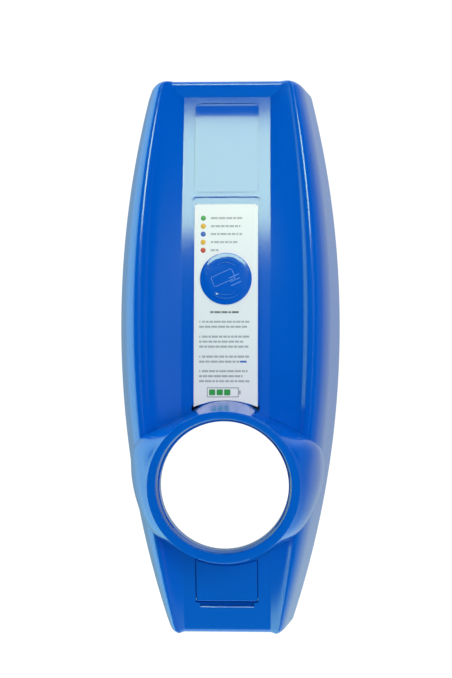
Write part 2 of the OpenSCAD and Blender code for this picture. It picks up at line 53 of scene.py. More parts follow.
# studio: pale floor, white backdrop, two lights that don't reflect and two boxes that only reflect
studio = {"glow": 3.6, "lowGlow": 0.8, "lowFrom": -0.05, "lowTo": -0.75, "backdrop": 1.05,
          "topBox": 14.0, "topLight": 4.0, "ceiling": 4.0, "fill": 4.6,
          "floorZ": -0.85, "floorRadius": 2.2, "floorGlow": 0.8,
          "underneath": (0.08, 0.7, 0.85), "boxTint": (1.0, 1.06, 0.62)}
# tone of the surroundings from the far left (0) to the far right (1)
tones = [(0.04, (0.52, 0.88, 0.72)), (0.2, (0.46, 0.76, 0.66)), (0.4, (0.32, 0.47, 0.5)),
         (0.6, (0.62, 0.75, 0.88)), (0.75, (0.34, 0.42, 0.50)), (0.95, (0.07, 0.10, 0.12))]
# brightness of the surroundings from straight ahead (0) over the sides (0.5) to straight behind (1)
surround = [(0.33, 0.006), (0.5, 1.0), (0.68, 0.9), (0.85, 0.5), (1.0, 0.22)]
world = bpy.data.worlds.new("studioAir")
bpy.context.scene.world = world
world.use_nodes = True
tree = world.node_tree
tree.nodes.clear()
where = tree.nodes.new("ShaderNodeTexCoord")
split = tree.nodes.new("ShaderNodeSeparateXYZ")
tree.links.new(where.outputs["Generated"], split.inputs[0])


def shareAlong(axis):
    # 0 to 1 from one end of an axis of the surroundings to the other
    share = tree.nodes.new("ShaderNodeMapRange")
    share.inputs["From Min"].default_value = -1
    share.inputs["From Max"].default_value = 1
    tree.links.new(split.outputs[axis], share.inputs["Value"])
    return share.outputs["Result"]


def rampOver(share, stops):
    # colour ramp with the given stops, each a place and a colour
    ramp = tree.nodes.new("ShaderNodeValToRGB")
    elements = ramp.color_ramp.elements
    while len(elements) < len(stops):
        elements.new(0.5)
    for element, (at, colour) in zip(elements, stops):
        element.position = at
        element.color = (*colour, 1)
    tree.links.new(share, ramp.inputs["Fac"])
    return ramp


level = rampOver(shareAlong("Y"), [(at, (grey, grey, grey)) for at, grey in surround])
level.color_ramp.interpolation = "EASE"
glow = tree.nodes.new("ShaderNodeMath")
glow.operation = "MULTIPLY"
glow.inputs[1].default_value = studio["glow"]
tree.links.new(level.outputs["Color"], glow.inputs[0])
air = tree.nodes.new("ShaderNodeBackground")
tree.links.new(glow.outputs[0], air.inputs["Strength"])
tree.links.new(rampOver(shareAlong("X"), tones).outputs["Color"], air.inputs["Color"])
# a second tone that comes from below
below = tree.nodes.new("ShaderNodeMapRange")
below.interpolation_type = "SMOOTHSTEP"
below.inputs["From Min"].default_value = studio["lowFrom"]
below.inputs["From Max"].default_value = studio["lowTo"]
below.inputs["To Max"].default_value = studio["lowGlow"]
tree.links.new(split.outputs["Z"], below.inputs["Value"])
low = tree.nodes.new("ShaderNodeBackground")
low.inputs["Color"].default_value = (*studio["underneath"], 1)
tree.links.new(below.outputs["Result"], low.inputs["Strength"])
both = tree.nodes.new("ShaderNodeAddShader")
tree.links.new(air.outputs[0], both.inputs[0])
tree.links.new(low.outputs[0], both.inputs[1])
# the backdrop itself is plain white
seen = tree.nodes.new("ShaderNodeBackground")
seen.inputs["Color"].default_value = (1, 1, 1, 1)
seen.inputs["Strength"].default_value = studio["backdrop"]
rays = tree.nodes.new("ShaderNodeLightPath")
pick = tree.nodes.new("ShaderNodeMixShader")
tree.links.new(rays.outputs["Is Camera Ray"], pick.inputs[0])
tree.links.new(both.outputs[0], pick.inputs[1])
tree.links.new(seen.outputs[0], pick.inputs[2])
out = tree.nodes.new("ShaderNodeOutputWorld")
tree.links.new(pick.outputs[0], out.inputs[0])


def softBox(name, place, aim, width, height, glow, glossy=True, tint=(1, 1, 1)):
    bpy.ops.object.light_add(type="AREA", location=place)
    o = bpy.context.object
    o.name = name
    o.data.shape = "RECTANGLE"
    o.data.size, o.data.size_y = width, height
    o.data.energy = glow * math.pi * width * height
    o.data.color = tint
    o.rotation_euler = (Vector(aim) - Vector(place)).to_track_quat("-Z", "Y").to_euler()
    o.visible_camera = False
    o.visible_glossy = glossy
    return o


softBox("topLight", (-0.05, -1.945, 1.15), (0, -0.1, 0.12), 1.4, 0.63, studio["topLight"], glossy=False)
softBox("frontFill", (0.8, -2.6, 0.3), (0, 0, 0), 1.6, 1.6, studio["fill"], glossy=False)
# boxes seen only as reflections: above the camera and overhead
for name, place, size, level in (("topBox", (-0.05, -1.93, 1.18), (0.85, 0.7), studio["topBox"]),
                                 ("ceilingBox", (0, -1.25, 1.75), (0.8, 0.5), studio["ceiling"])):
    softBox(name, place, (0, -0.1, 0.1), *size, level, tint=studio["boxTint"]).visible_diffuse = False


def deselect():
    if bpy.context.object and bpy.context.object.mode != "OBJECT":
        bpy.ops.object.mode_set(mode="OBJECT")
    bpy.ops.object.select_all(action="DESELECT")


def only(o):
    deselect()
    o.select_set(True)
    bpy.context.view_layer.objects.active = o


def bake(o):
    only(o)
    bpy.ops.object.transform_apply(location=True, rotation=True, scale=True)
    return o


def applyAll(o):
    only(o)
    for m in list(o.modifiers):
        bpy.ops.object.modifier_apply(modifier=m.name)
    return o


def block(name, x, d, z):
    # cube between two x, two depths in front of the wall and two heights
    deselect()
    middle = ((x[0] + x[1]) / 2, -(d[0] + d[1]) / 2, (z[0] + z[1]) / 2)
    bpy.ops.mesh.primitive_cube_add(size=1, location=middle)
    o = bpy.context.object
    o.name = name
    o.scale = (x[1] - x[0], d[1] - d[0], z[1] - z[0])
    return bake(o)


def rod(name, radius, x, d, z, axis="Y", sides=64):
    # cylinder along Y or X: the pair of numbers is its ends, the single ones its place
    deselect()
    if axis == "Y":
        middle, length, turned = (x, -(d[0] + d[1]) / 2, z), d[1] - d[0], (math.pi / 2, 0, 0)
    else:
        middle, length, turned = ((x[0] + x[1]) / 2, -d, z), x[1] - x[0], (0, math.pi / 2, 0)
    bpy.ops.mesh.primitive_cylinder_add(vertices=sides, radius=radius, depth=length, location=middle,
                                        rotation=turned)
    o = bpy.context.object
    o.name = name
    return bake(o)


def roundEdges(o, offset, test, segments=4):
    # bevels the edges whose two ends pass the test
    only(o)
    mesh = o.data
    bpy.ops.object.mode_set(mode="EDIT")
    bpy.ops.mesh.select_mode(type="EDGE")
    bpy.ops.mesh.select_all(action="DESELECT")
    bpy.ops.object.mode_set(mode="OBJECT")
    for e in mesh.edges:
        a, b = (mesh.vertices[i].co for i in e.vertices)
        e.select = test(a, b)
    bpy.ops.object.mode_set(mode="EDIT")
    bpy.ops.mesh.bevel(offset=offset, segments=segments)
    bpy.ops.object.mode_set(mode="OBJECT")
    return o


def alongDepth(a, b):
    return abs(a.x - b.x) < 1e-5 and abs(a.z - b.z) < 1e-5 and abs(a.y - b.y) > 1e-4


def combine(o, tool, operation="DIFFERENCE"):
    # cuts or adds the tool, which is used up
    m = o.modifiers.new(operation, "BOOLEAN")
    m.operation = operation
    m.solver = "EXACT"
    m.object = tool
    applyAll(o)
    bpy.data.objects.remove(tool)
    return o


def joinTo(o, others):
    only(o)
    for p in others:
        p.select_set(True)
    bpy.ops.object.join()
    return o


def softenEdges(o, width=0.0004, segments=2, angle=40):
    m = o.modifiers.new("edges", "BEVEL")
    m.width, m.segments, m.limit_method, m.angle_limit = width, segments, "ANGLE", math.radians(angle)
    return applyAll(o)


def smooth(o, angle=35):
    only(o)
    bpy.ops.object.shade_smooth_by_angle(angle=math.radians(angle))
    return o


def tidyNormals(o, merge=0.00001):
    only(o)
    bpy.ops.object.mode_set(mode="EDIT")
    bpy.ops.mesh.select_all(action="SELECT")
    bpy.ops.mesh.remove_doubles(threshold=merge)
    bpy.ops.mesh.normals_make_consistent(inside=False)
    bpy.ops.object.mode_set(mode="OBJECT")
    return o


# finishes
def newFinish(name):
    m = bpy.data.materials.new(name)
    m.use_nodes = True
    return m, m.node_tree, m.node_tree.nodes["Principled BSDF"]


def noise(t, vector, size, detail):
    n = t.nodes.new("ShaderNodeTexNoise")
    n.inputs["Scale"].default_value = size
    n.inputs["Detail"].default_value = detail
    t.links.new(vector, n.inputs["Vector"])
    return n.outputs["Fac"]


def toneBy(t, skin, pattern, colour, share):
    # base colour that drifts with the pattern by that share of itself
    tone = t.nodes.new("ShaderNodeMix")
    tone.data_type = "RGBA"
    tone.inputs["A"].default_value = (*[c * (1 - share) for c in colour], 1)
    tone.inputs["B"].default_value = (*[min(1, c * (1 + share)) for c in colour], 1)
    t.links.new(pattern, tone.inputs["Factor"])
    t.links.new(tone.outputs["Result"], skin.inputs["Base Color"])


def roughBy(t, skin, pattern, least, most):
    sheen = t.nodes.new("ShaderNodeMapRange")
    sheen.inputs["To Min"].default_value = least
    sheen.inputs["To Max"].default_value = most
    t.links.new(pattern, sheen.inputs["Value"])
    t.links.new(sheen.outputs["Result"], skin.inputs["Roughness"])


def bumpBy(t, skin, pattern, strength, height):
    bump = t.nodes.new("ShaderNodeBump")
    bump.inputs["Strength"].default_value = strength
    bump.inputs["Distance"].default_value = height
    t.links.new(pattern, bump.inputs["Height"])
    t.links.new(bump.outputs["Normal"], skin.inputs["Normal"])


def plastic(name, colour, rough, grain=0.0, grainSize=900, cloud=0.06, cloudSize=14, coat=0.0, specular=0.5,
            roughSpread=0.05, tint=(1, 1, 1)):
    # moulded plastic: slow colour drift, roughness that varies, fine moulded grain
    m, t, skin = newFinish(name)
    skin.inputs["Specular IOR Level"].default_value = specular
    skin.inputs["Specular Tint"].default_value = (*tint, 1)
    skin.inputs["Coat Weight"].default_value = coat
    skin.inputs["Coat Roughness"].default_value = 0.12
    place = t.nodes.new("ShaderNodeTexCoord").outputs["Object"]
    drift = noise(t, place, cloudSize, 3)
    toneBy(t, skin, drift, colour, cloud)
    roughBy(t, skin, drift, max(0.02, rough - roughSpread), rough + roughSpread)
    if grain:
        bumpBy(t, skin, noise(t, place, grainSize, 2), grain, 0.0002)
    return m


def metal(name, colour, rough, stretch):
    # plated or turned metal: brushed streaks along one axis and a mottled plating
    m, t, skin = newFinish(name)
    skin.inputs["Metallic"].default_value = 1
    lay = t.nodes.new("ShaderNodeMapping")
    lay.inputs["Scale"].default_value = stretch
    t.links.new(t.nodes.new("ShaderNodeTexCoord").outputs["Object"], lay.inputs["Vector"])
    streak = noise(t, lay.outputs["Vector"], 60, 5)
    toneBy(t, skin, streak, colour, 0.1)
    roughBy(t, skin, streak, rough - 0.08, rough + 0.1)
    bumpBy(t, skin, streak, 0.1, 0.0001)
    return m


glint = (0.8, 1.0, 0.8)
coverBlue = plastic("coverBlue", (0.0, 0.118, 0.62), 0.14, grain=0.11, grainSize=1100, cloud=0.03,
                    cloudSize=9, tint=glint)
smoothBlue = plastic("smoothBlue", (0.0, 0.115, 0.62), 0.1, grain=0.03, cloud=0.03, tint=glint,
                     roughSpread=0.02)
labelWhite = plastic("labelWhite", (0.9, 0.905, 0.91), 0.42, grain=0.05, grainSize=2500, cloud=0.012)
printGrey = plastic("printGrey", (0.13, 0.14, 0.16), 0.5, cloud=0.1, cloudSize=400)
printSoft = plastic("printSoft", (0.42, 0.44, 0.47), 0.5, cloud=0.12, cloudSize=400)
printBlue = plastic("printBlue", (0.0, 0.11, 0.5), 0.45, cloud=0.06, cloudSize=300)
printGreen = plastic("printGreen", (0.01, 0.33, 0.06), 0.45, cloud=0.06, cloudSize=300)
printYellow = plastic("printYellow", (0.82, 0.44, 0.01), 0.45, cloud=0.06, cloudSize=300)
# lighter blue used as a painted highlight along the pressed lines of the card reader disc
paintedHighlightBlue = plastic("paintedHighlightBlue", (0.03, 0.24, 0.80), 0.3, cloud=0.05, cloudSize=200)
printRed = plastic("printRed", (0.6, 0.02, 0.01), 0.45, cloud=0.06, cloudSize=300)
housingGrey = plastic("housingGrey", (0.42, 0.44, 0.46), 0.5, grain=0.4, grainSize=1300, cloud=0.05)
deviceGrey = plastic("deviceGrey", (0.62, 0.62, 0.6), 0.38, grain=0.25, grainSize=1500, cloud=0.04,
                     cloudSize=30)
darkPlastic = plastic("darkPlastic", (0.03, 0.03, 0.035), 0.4, grain=0.3, grainSize=1300, cloud=0.15)
rubberBlack = plastic("rubberBlack", (0.02, 0.02, 0.021), 0.7, grain=0.5, grainSize=900, cloud=0.2,
                      specular=0.3)
zincSteel = metal("zincSteel", (0.63, 0.64, 0.66), 0.34, stretch=(1, 1, 6))
brass = metal("brass", (0.74, 0.55, 0.24), 0.3, stretch=(1, 8, 1))
boardGreen = plastic("boardGreen", (0.01, 0.13, 0.05), 0.3, grain=0.3, grainSize=420, cloud=0.25,
                     cloudSize=160, coat=0.4)
milky = plastic("milky", (0.82, 0.87, 0.92), 0.35, grain=0.1, cloud=0.02)
leverBlue = plastic("leverBlue", (0.02, 0.05, 0.22), 0.25, grain=0.1, cloud=0.05)
buttonYellow = plastic("buttonYellow", (0.8, 0.5, 0.03), 0.3, grain=0.1, cloud=0.05)


def paint(o, *materials):
    o.data.materials.clear()
    for m in materials:
        o.data.materials.append(m)
    return o


# surface of the cover, as functions of the height (metres)
cover = {"height": 0.600, "width": 0.248, "sideRadius": 1.060, "widestAt": 0.035, "wall": 0.003,
         "lean": 0.140, "backGap": 0.014, "stripWidth": 0.094, "stripDepth": 0.138, "bellyAt": -0.060,
         "bowUpper": 1.312, "bowLower": 0.552, "ridge": 0.032, "ridgeFadeUp": 0.32, "ridgeFadeDown": 0.53,
         "fullness": 0.12, "fullerUp": 0.38, "fullerDown": 0.28, "kneeAt": 0.55,
         "crestIn": 0.034, "crestBack": 0.088, "crestInShare": 0.75, "crestBackShare": 0.45,
         "headSlope": 0.015, "headRise": 0.68, "headEase": 1.5,
         "topRound": 0.008, "topRoundDepth": 0.004, "lowRound": 0.005}
topZ, lowZ = cover["height"] / 2, -cover["height"] / 2
headZ = topZ - 0.002 - cover["headSlope"]


def edgeIn(q, r):
    return 0 if q >= r else r - math.sqrt(max(0, r * r - (r - q) ** 2))


def halfWidth(z):
    r = cover["sideRadius"]
    return cover["width"] / 2 - r + math.sqrt(r * r - (z - cover["widestAt"]) ** 2)


def stripDepth(z):
    r = cover["bowUpper"] if z > cover["bellyAt"] else cover["bowLower"]
    return cover["stripDepth"] - r + math.sqrt(r * r - (z - cover["bellyAt"]) ** 2)


def toEnd(z):
    w = cover["widestAt"]
    return (z - w) / (topZ - w) if z > w else (w - z) / (w - lowZ)


def ridgeOver(z):
    fade = cover["ridgeFadeUp" if z > cover["widestAt"] else "ridgeFadeDown"]
    return cover["ridge"] * (1 - fade * toEnd(z) ** 2)


def fullness(z):
    more = cover["fullerUp" if z > cover["widestAt"] else "fullerDown"]
    return cover["fullness"] + more * toEnd(z) ** 2


def mix(a, b, t):
    return a + (b - a) * t


def curveAt(a, k, b, t):
    return tuple(mix(mix(p, q, t), mix(q, r, t), t) for p, q, r in zip(a, k, b))


def reach(a, k, b, v):
    if v <= a:
        return 0
    if v >= b:
        return 1
    p, q, c = a - 2 * k + b, 2 * (k - a), a - v
    return -c / q if abs(p) < 1e-9 else (-q + math.sqrt(max(0, q * q - 4 * p * c))) / (2 * p)


slopeSteps = [0, 0.02, 0.06] + [0.06 + 0.94 * i / 15 for i in range(1, 16)]
crestSteps = [i / 16 for i in range(1, 17)]
wallSteps = [0.02, 0.15, 0.4, 0.7, 1]
stripSteps = [0, 0.3, 0.6, 0.85, 0.95, 0.985]


def halfSection(z):
    # right half of the outline at height z, from the middle of the strip to the back edge: (x, depth)
    low = edgeIn(z - lowZ, cover["lowRound"])
    inX = max(edgeIn(topZ - z, cover["topRound"]), low)
    inD = max(edgeIn(topZ - z, cover["topRoundDepth"]), low)
    w, s, h = halfWidth(z) - inX, stripDepth(z) - inD, ridgeOver(z)
    back, inner = (w, cover["backGap"]), (cover["stripWidth"] / 2, s)
    corner = (w - cover["lean"] * (s + h - cover["backGap"]), s + h)
    knee = (mix(inner[0], corner[0], cover["kneeAt"]), s + fullness(z) * h)
    toKnee, toBack = math.dist(knee, corner), math.dist(back, corner)
    inShare = min(cover["crestInShare"], cover["crestIn"] / toKnee)
    backShare = min(cover["crestBackShare"], cover["crestBack"] / toBack)
    a = tuple(mix(c, k, inShare) for c, k in zip(corner, knee))
    b = tuple(mix(c, k, backShare) for c, k in zip(corner, back))
    rise = 1 - (1 - min(1, max(0, (z - headZ) / cover["headSlope"]))) ** cover["headEase"]
    floor = mix(s, a[1], cover["headRise"] * rise)
    u0 = reach(inner[1], knee[1], a[1], floor)
    slope = [curveAt(inner, knee, a, mix(u0, 1, u)) for u in slopeSteps]
    crest = [curveAt(a, corner, b, u) for u in crestSteps]
    side = [(mix(b[0], back[0], u), mix(b[1], back[1], u)) for u in wallSteps]
    return [(slope[0][0] * u, floor) for u in stripSteps] + slope + crest + side


def depthAt(x, z):
    # depth of the front surface at x, as far out as the crest
    h = halfSection(z)
    x = abs(x)
    for p, q in zip(h, h[1:]):
        if x <= q[0]:
            return mix(p[1], q[1], (x - p[0]) / max(1e-9, q[0] - p[0]))
    return h[-1][1]


# heights of the rows: close together on the rounded ends and on the head slope
rowHeights = [lowZ + cover["lowRound"] * (1 - math.cos(math.pi / 2 * i / 5)) for i in range(6)]
rowHeights += [mix(lowZ + 0.005, headZ - 0.001, i / 120) for i in range(1, 121)]
rowHeights += [headZ + cover["headSlope"] * u for u in (0, 0.05, 0.15, 0.28, 0.42, 0.56, 0.7, 0.82)]
rowHeights += [topZ - 0.004 * (1 - math.sin(math.pi / 2 * i / 5)) for i in range(1, 6)]
rowHeights = sorted(set(round(z, 6) for z in rowHeights))


def sheetGrid(name, rows, wrap=False):
    # a grid primitive whose points are laid on the given rows of (x, depth, z)
    if wrap:
        rows = [list(r) + [r[0]] for r in rows]
        rows = rows + [rows[0]]
    deselect()
    bpy.ops.mesh.primitive_grid_add(x_subdivisions=len(rows[0]) - 1, y_subdivisions=len(rows) - 1, size=1)
    o = bpy.context.object
    o.name = name
    for j, row in enumerate(rows):
        for i, (x, d, z) in enumerate(row):
            o.data.vertices[j * len(row) + i].co = (x, -d, z)
    return tidyNormals(o)


def follow(o, z):
    # bends a flat piece so that it follows the strip about the height z
    for v in o.data.vertices:
        v.co.y -= stripDepth(v.co.z) - stripDepth(z)
    return o


def thicken(o, thickness, offset=-1):
    m = o.modifiers.new("wall", "SOLIDIFY")
    m.thickness, m.offset = thickness, offset
    return applyAll(o)


def coverSkin():
    rows = []
    for z in rowHeights:
        h = halfSection(z)
        rows.append([(-x, d, z) for x, d in reversed(h[1:])] + [(x, d, z) for x, d in h])
    low = [(x, cover["backGap"], z) for x, d, z in rows[0]]
    high = [(x, cover["backGap"], z) for x, d, z in rows[-1]]
    o = thicken(sheetGrid("moulded_cover", [low] + rows + [high]), cover["wall"])
    for v in o.data.vertices:
        if v.co.z > topZ + 1e-6 or v.co.z < lowZ - 1e-6:
            v.co.z = (topZ - cover["wall"] / 2) if v.co.z > 0 else (lowZ + cover["wall"] / 2)
    return tidyNormals(o)


# socket bay: ring face, lip, bore, and the skirts that blend it into the cover
bay = {"z": -0.131, "depth": 0.194, "tilt": 8, "ring": 0.079, "flare": 0.117, "bore": 0.067,
       "boreBack": 0.156, "boreFront": 0.176, "boreDrop": 0.0008, "lip": 0.0011, "mouth": 0.070,
       "edge": 0.0009, "wall": 0.0024, "sides": 160}
# the skirt: angle above the level, radius where it ends, and how far out and back it bulges
skirt = [(90, 0.0860, 0.50, 0.50), (74, 0.0852, 0.50, 0.50), (62, 0.0832, 0.50, 0.50),
         (49, 0.0858, 0.60, 0.46), (37, 0.0935, 0.72, 0.36), (27, 0.1018, 0.84, 0.26),
         (18, 0.1072, 0.90, 0.20), (8, 0.1080, 0.85, 0.20), (-2, 0.1060, 0.85, 0.20),
         (-11, 0.1030, 0.85, 0.21), (-20, 0.0992, 0.86, 0.24), (-32, 0.0948, 0.76, 0.32),
         (-44, 0.0918, 0.62, 0.42), (-56, 0.0896, 0.54, 0.47), (-72, 0.0882, 0.50, 0.50),
         (-90, 0.0876, 0.50, 0.50)]


def skirtAt(angle):
    # smooth values between the rows of the table, the same on both sides
    a = math.degrees(angle) % 360
    a = a if a <= 90 else 180 - a if a <= 270 else a - 360
    for k in range(len(skirt) - 1):
        if skirt[k][0] >= a >= skirt[k + 1][0] - 1e-9:
            break
    p0, p1, p2, p3 = (skirt[max(0, min(len(skirt) - 1, k + n))] for n in (-1, 0, 1, 2))
    t = (p1[0] - a) / (p1[0] - p2[0])
    span = p1[0] - p2[0]
    values = []
    for c in (1, 2, 3):
        m1 = (p2[c] - p0[c]) / max(1e-9, p0[0] - p2[0]) * span if p0 is not p1 else 0
        m2 = (p3[c] - p1[c]) / max(1e-9, p1[0] - p3[0]) * span if p3 is not p2 else 0
        values.append((2 * t ** 3 - 3 * t ** 2 + 1) * p1[c] + (t ** 3 - 2 * t ** 2 + t) * m1
                      + (3 * t ** 2 - 2 * t ** 3) * p2[c] + (t ** 3 - t ** 2) * m2)
    return values


def faceDepth(r, angle):
    return bay["depth"] + r * math.sin(angle) * math.tan(math.radians(bay["tilt"]))


def bayProfile(angle):
    # one closed loop of (radius, depth), from the bore's back round the ring and down the skirt
    r0 = bay["ring"] / (1 + math.sin(angle) * math.tan(math.radians(bay["tilt"])) * bay["flare"])
    e, w = bay["edge"], bay["wall"]
    mouth, bore, lip = bay["mouth"], bay["bore"], bay["bore"] + bay["lip"]
    back, front = bay["boreBack"], bay["boreFront"]

    def face(r):
        return faceDepth(r, angle)

    end, outShare, backShare = skirtAt(angle)
    x, z = end * math.cos(angle), bay["z"] + end * math.sin(angle)
    endDepth = depthAt(x, z)
    start = (r0, face(r0) - e)
    stop = (end, endDepth)
    knee = (mix(start[0], stop[0], outShare), mix(start[1], stop[1], backShare))
    fall = [curveAt(start, knee, stop, i / 14) for i in range(15)]
    loop = [(bore, back + 0.0006), (bore, mix(back, front, 0.35)), (bore, front - 0.0004),
            (bore + 0.0003, front), (lip - 0.0003, front), (lip, front + 0.0004),
            (mix(lip, mouth, 0.5), mix(front, face(mouth), 0.5)),
            (mouth, face(mouth) - e), (mouth + e * 0.3, face(mouth) - e * 0.3), (mouth + e, face(mouth + e))]
    loop += [(r, face(r)) for r in (mouth + 0.003, r0 - 0.0035, r0 - e)]
    loop += [(r0 - e * 0.3, face(r0) - e * 0.3)] + fall
    loop += [(r - w, d - w) for r, d in reversed(fall[2:])]
    loop += [(r0 - 0.0035, face(r0) - 0.005), (mouth + 0.0028, face(mouth) - 0.005), (bore + 0.003, back),
             (bore + 0.0006, back)]
    return loop


def bayRing():
    rows = []
    for i in range(bay["sides"]):
        angle = 2 * math.pi * i / bay["sides"]
        row = []
        for r, d in bayProfile(angle):
            drop = bay["boreDrop"] if r <= bay["bore"] + 0.0031 and d <= bay["boreFront"] + 1e-6 else 0
            row.append((r * math.cos(angle), d, bay["z"] - drop + r * math.sin(angle)))
        rows.append(row)
    return sheetGrid("bay_collar", rows, wrap=True)


# window, label recess and hatch openings
window = {"width": 0.069, "height": 0.098, "z": 0.227, "corner": 0.005, "sunk": 0.0002, "thickness": 0.002,
          "leanLength": 0.015, "leanBy": 0.0005, "gap": 0.0003, "openingCorner": 0.006}
recess = {"width": 0.072, "top": 0.173, "foot": -0.075, "corner": 0.004, "depth": 0.0022}
label = {"width": 0.068, "top": 0.165, "sunk": 0.0014, "thickness": 0.0008, "corner": 0.002, "arc": 0.0864}
disc = {"radius": 0.0276, "z": 0.0847, "proud": 0.0006}
hatch = {"width": 0.066, "z": -0.264, "height": 0.056, "thickness": 0.003, "gap": 0.0008, "arc": 0.0915,
         "sunk": 0.0002}
ledge = {"half": 0.0292, "top": -0.2646, "low": -0.2703, "deep": 0.0036, "lip": 0.00055, "lipHeight": 0.0016}
pocketBack = stripDepth(hatch["z"]) - hatch["thickness"] - 0.009
lockPlace = {"z": hatch["z"] + 0.018, "hole": 0.008}
hingeAt = {"z": topZ - 0.014, "depth": 0.030, "rod": 0.00306, "knuckle": 0.0062, "x": 0.041,
           "length": 0.020}
post = {"x": 0.024, "up": 0.026, "radius": 0.0035, "length": 0.016, "screw": 0.0013}
pin = {"depth": 0.09709, "z": -0.2608, "radius": 0.0015}


def bayCutter():
    rows = []
    for i in range(bay["sides"]):
        angle = 2 * math.pi * i / bay["sides"]
        r = skirtAt(angle)[0] - 0.0006
        rows.append([(r * math.cos(angle), d, bay["z"] + r * math.sin(angle)) for d in (0.100, 0.270)])
    deselect()
    bpy.ops.mesh.primitive_cylinder_add(vertices=bay["sides"], radius=1, depth=1, location=(0, 0, 0))
    o = bpy.context.object
    for v in o.data.vertices:
        k = round(math.atan2(v.co.y, v.co.x) / (2 * math.pi) * bay["sides"]) % bay["sides"]
        x, d, z = rows[k][0 if v.co.z < 0 else 1]
        v.co = (x, -d, z)
    return tidyNormals(o)


def hatchCutter(back, front, grow, bottom):
    half = hatch["width"] / 2 + grow
    o = block("hatchCutter", (-half, half), (back, front), (bottom, hatch["z"] + hatch["height"]))
    return combine(o, rod("arc", hatch["arc"] - grow, 0, (back - 0.01, front + 0.01), bay["z"], sides=160))


def stripPlate(name, x, z, sunk, thickness, steps=40):
    # bent plate that follows the strip, its face sunk by that much
    rows = []
    for i in range(steps + 1):
        h = mix(z[0], z[1], i / steps)
        rows.append([(mix(x[0], x[1], j / 8), stripDepth(h) - sunk, h) for j in range(9)])
    return thicken(sheetGrid(name, rows), thickness)


def ledgeCutter():
    # finger ledge under the hatch: a ramp with a bright lower lip
    s = stripDepth(ledge["low"])
    out = s + 0.004
    profile = [(s - ledge["deep"], ledge["top"]), (out, ledge["top"]), (out, ledge["low"] - 0.0008),
               (s, ledge["low"]), (s - ledge["lip"], ledge["low"] + ledge["lipHeight"])]
    deselect()
    bpy.ops.mesh.primitive_cylinder_add(vertices=5, radius=1, depth=1, location=(0, 0, 0))
    o = bpy.context.object
    for v in o.data.vertices:
        d, z = profile[round(math.atan2(v.co.y, v.co.x) / (2 * math.pi) * 5) % 5]
        v.co = (ledge["half"] * (1 if v.co.z > 0 else -1), -d, z)
    return tidyNormals(o)


def makeCover():
    o = coverSkin()
    # window, label, bay and hatch openings, and the finger ledge under the hatch
    halfWide, halfHigh = window["width"] / 2 + window["gap"], window["height"] / 2 + window["gap"]
    windowHole = block("windowHole", (-halfWide, halfWide), (0.09, 0.17),
                       (window["z"] - halfHigh, window["z"] + halfHigh))
    labelHole = block("labelHole", (-recess["width"] / 2, recess["width"] / 2), (0.1, 0.17),
                      (recess["foot"], recess["top"]))
    cutters = [roundEdges(windowHole, window["openingCorner"], alongDepth, 6),
               roundEdges(labelHole, recess["corner"], alongDepth, 5),
               bayCutter(),
               hatchCutter(0.07, 0.14, hatch["gap"], hatch["z"] - hatch["gap"])]
    for c in cutters:
        combine(o, c)
    combine(o, ledgeCutter())
    print("cover openings cut:", len(o.data.polygons), "faces")

    # plate behind the window and the label
    backing = stripPlate("backing", (-0.0405, 0.0405), (-0.050, 0.2805), recess["depth"] + 0.0002, 0.003, 70)
    # tray behind the hatch
    rim = 0.005
    trayHalf, trayLow = hatch["width"] / 2 + rim, hatch["z"] - rim
    tray = block("tray", (-trayHalf, trayHalf), (pocketBack - 0.0025, stripDepth(trayLow) - 0.0008),
                 (trayLow, hatch["z"] + hatch["height"]))
    combine(tray, rod("arc", hatch["arc"] - 0.0016, 0, (0.05, 0.2), bay["z"], sides=160))
    combine(tray, hatchCutter(pocketBack, 0.15, hatch["gap"], hatch["z"] - hatch["gap"]))
    combine(tray, rod("lockHole", lockPlace["hole"], 0, (0.0, 0.12), lockPlace["z"]))
    combine(tray, rod("pinHole", pin["radius"], (-0.04, 0.04), pin["depth"], pin["z"], axis="X", sides=32))
    combine(tray, ledgeCutter())
    softenEdges(tray, 0.0004)
    extras = [backing, tray]
    # hinge knuckles with their webs, bored for the rod
    for side in (-1, 1):
        a, b = side * hingeAt["x"] - hingeAt["length"] / 2, side * hingeAt["x"] + hingeAt["length"] / 2
        d, z = hingeAt["depth"], hingeAt["z"]
        knuckle = rod("knuckle", hingeAt["knuckle"], (a, b), d, z, axis="X", sides=48)
        combine(knuckle, block("web", (a, b), (d - 0.004, d + 0.004), (z, topZ - 0.0015)), "UNION")
        combine(knuckle, rod("bore", hingeAt["rod"], (a - 0.01, b + 0.01), d, z, axis="X", sides=48))
        extras.append(softenEdges(knuckle, 0.0005))
    # posts for the card reader board
    back = stripDepth(disc["z"]) - post["length"]
    for x in (-post["x"], post["x"]):
        for z in (disc["z"] - post["up"], disc["z"] + post["up"]):
            stud = rod("stud", post["radius"], x, (back, stripDepth(z) - 0.0035), z, sides=32)
            combine(stud, rod("screwHole", post["screw"], x, (back - 0.001, back + 0.004), z, sides=20))
            extras.append(softenEdges(stud, 0.0003))
    joinTo(o, extras)
    o.name = "moulded_cover"
    paint(o, coverBlue)
    smooth(o)
    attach(o, "cover")
    return o


moulded = makeCover()
collar = bayRing()
paint(collar, coverBlue)
smooth(collar)
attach(collar, "cover")
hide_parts("front_cover")
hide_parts("socket_collar")
print("cover and bay done")


